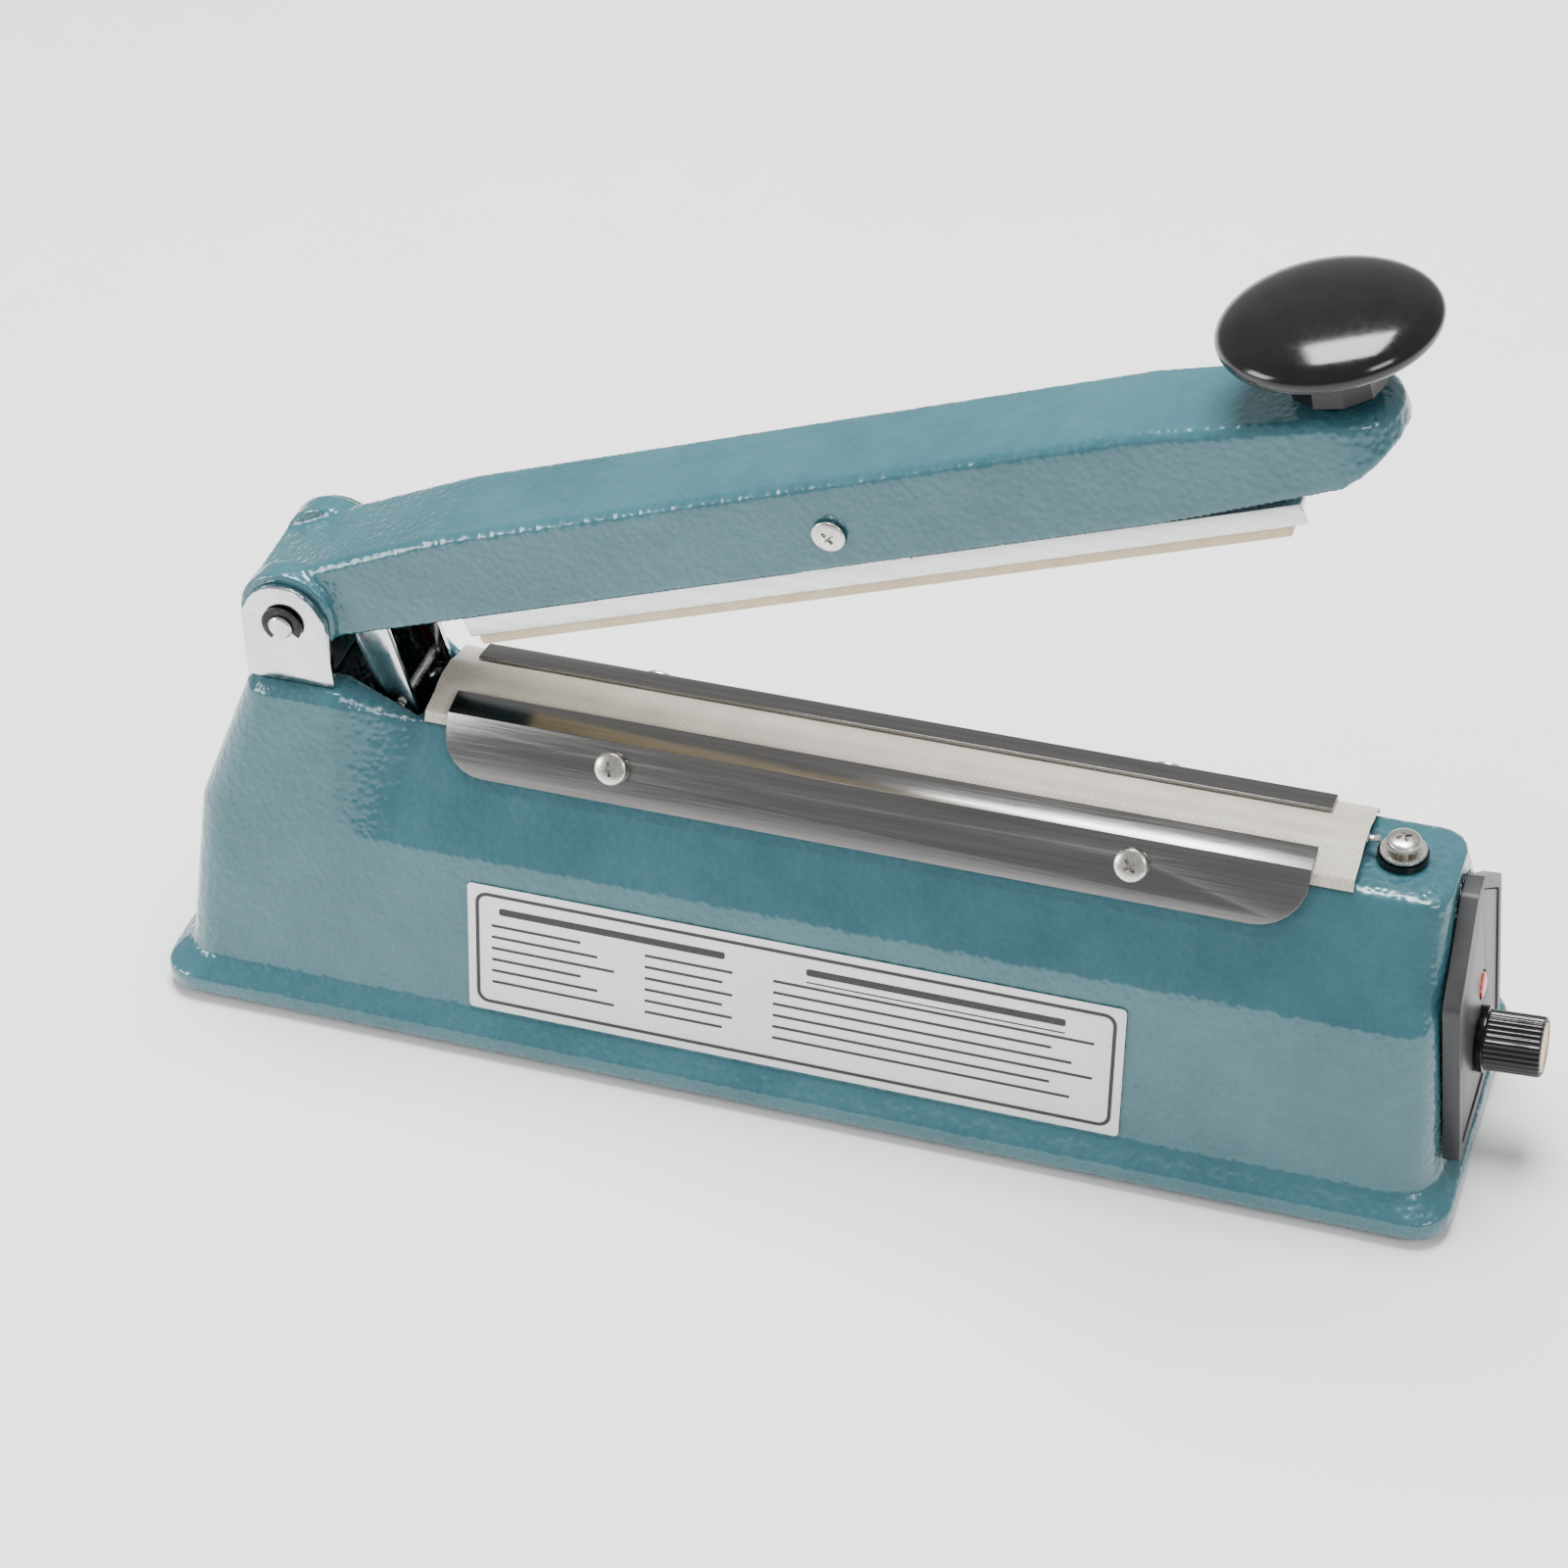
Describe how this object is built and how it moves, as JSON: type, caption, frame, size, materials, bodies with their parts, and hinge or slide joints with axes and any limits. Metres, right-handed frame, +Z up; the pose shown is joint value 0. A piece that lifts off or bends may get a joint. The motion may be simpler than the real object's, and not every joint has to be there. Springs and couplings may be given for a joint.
{
  "type": "impulse heat sealer",
  "caption": "Hand-operated impulse heat sealer: cast base with a covered heating ridge and timer dial, and a sprung hinged arm with a knob that presses a padded bar onto the ridge.",
  "frame": {"origin": "middle of the whole object's box, at the bottom of the rubber feet, with the arm open", "axes": "+X along the base from the hinge to the timer knob, +Y from the labelled front face to the back, +Z up"},
  "size_m": [0.3327, 0.0838, 0.2266],
  "materials": {
    "enamel": "glossy hammered enamel",
    "stainless": "bright brushed",
    "zinc": "bright zinc plate",
    "chrome": "bright",
    "aluminium": "satin",
    "black_steel": "black oxide",
    "black_plastic": "glossy",
    "panel_plastic": "satin moulded",
    "panel_print": "printed satin",
    "cream_plastic": "satin",
    "silicone": "matt",
    "ptfe_cloth": "coated glass weave",
    "nichrome": "satin",
    "rubber": "matt",
    "paper": "printed",
    "brass": "satin",
    "copper": "varnished winding",
    "core_iron": "laminated",
    "board": "satin",
    "red_lens": "glossy"
  },
  "bodies": {
    "base": {"body_casting": "enamel", "front_cover_plate": "stainless", "back_cover_plate": "stainless", "bottom_plate": "zinc", "bracket_screw_front": "zinc", "bracket_screw_back": "zinc", "hinge_pin": "zinc", "terminal_washer": "zinc", "terminal_screw": "zinc", "heater_lead_right": "zinc", "heater_lead_left": "zinc", "timer_potentiometer": "zinc", "switch_bracket": "zinc", "return_spring": "zinc", "front_cover_screw_left": "zinc", "foot_screw_front_left": "zinc", "rubber_foot_front_left": "rubber", "front_cover_screw_right": "zinc", "foot_screw_front_right": "zinc", "rubber_foot_front_right": "rubber", "back_cover_screw_left": "zinc", "foot_screw_back_left": "zinc", "rubber_foot_back_left": "rubber", "back_cover_screw_right": "zinc", "foot_screw_back_right": "zinc", "rubber_foot_back_right": "rubber", "hinge_bracket": "chrome", "retaining_clip_front": "black_steel", "retaining_clip_back": "black_steel", "ridge_bar": "black_plastic", "terminal_bush": "black_plastic", "timer_relay": "black_plastic", "microswitch": "black_plastic", "timer_bezel": "panel_plastic", "dial_plate": "panel_print", "ptfe_cloth": "ptfe_cloth", "heating_element": "nichrome", "cord_grommet": "rubber", "rating_label": "paper", "left_terminal": "brass", "transformer_coil": "copper", "transformer_core": "core_iron", "timer_board": "board", "pilot_lens": "red_lens"},
    "arm": {"arm_casting": "enamel", "hand_knob": "black_plastic", "knob_stud": "zinc", "switch_lever": "chrome", "trip_pin": "zinc", "rocker_screw": "zinc", "rocker_nut": "zinc"},
    "pressure_bar_set": {"pressure_bar": "aluminium", "silicone_strip": "silicone", "bar_carrier": "zinc"},
    "timer_dial": {"timer_knob": "black_plastic", "timer_knob_cap": "cream_plastic", "timer_shaft": "brass"},
    "plunger": {"switch_plunger": "cream_plastic"}
  },
  "joints": [
    {"name": "arm_hinge", "type": "hinge", "parent": "base", "child": "arm", "pos_m": [-0.1304, 0, 0.1053], "axis": [0, 1, 0], "range_deg": [0, 19.6], "stiffness_Nm_per_rad": 1.2, "springref_deg": -57.3},
    {"name": "pressure_bar_rock", "type": "hinge", "parent": "arm", "child": "pressure_bar_set", "pos_m": [0.00306, 0, 0.15409], "axis": [0, 1, 0], "range_deg": [-0.25, 0.25]},
    {"name": "timer_knob_turn", "type": "hinge", "parent": "base", "child": "timer_dial", "pos_m": [0.14743, 0, 0.029], "axis": [0.998, 0, 0.0639], "range_deg": [-135, 135]},
    {"name": "switch_plunger_press", "type": "slide", "parent": "base", "child": "plunger", "axis": [0, 0, -1], "range_m": [0, 0.0015], "stiffness_N_per_m": 150, "springref_m": -0.003}
  ]
}
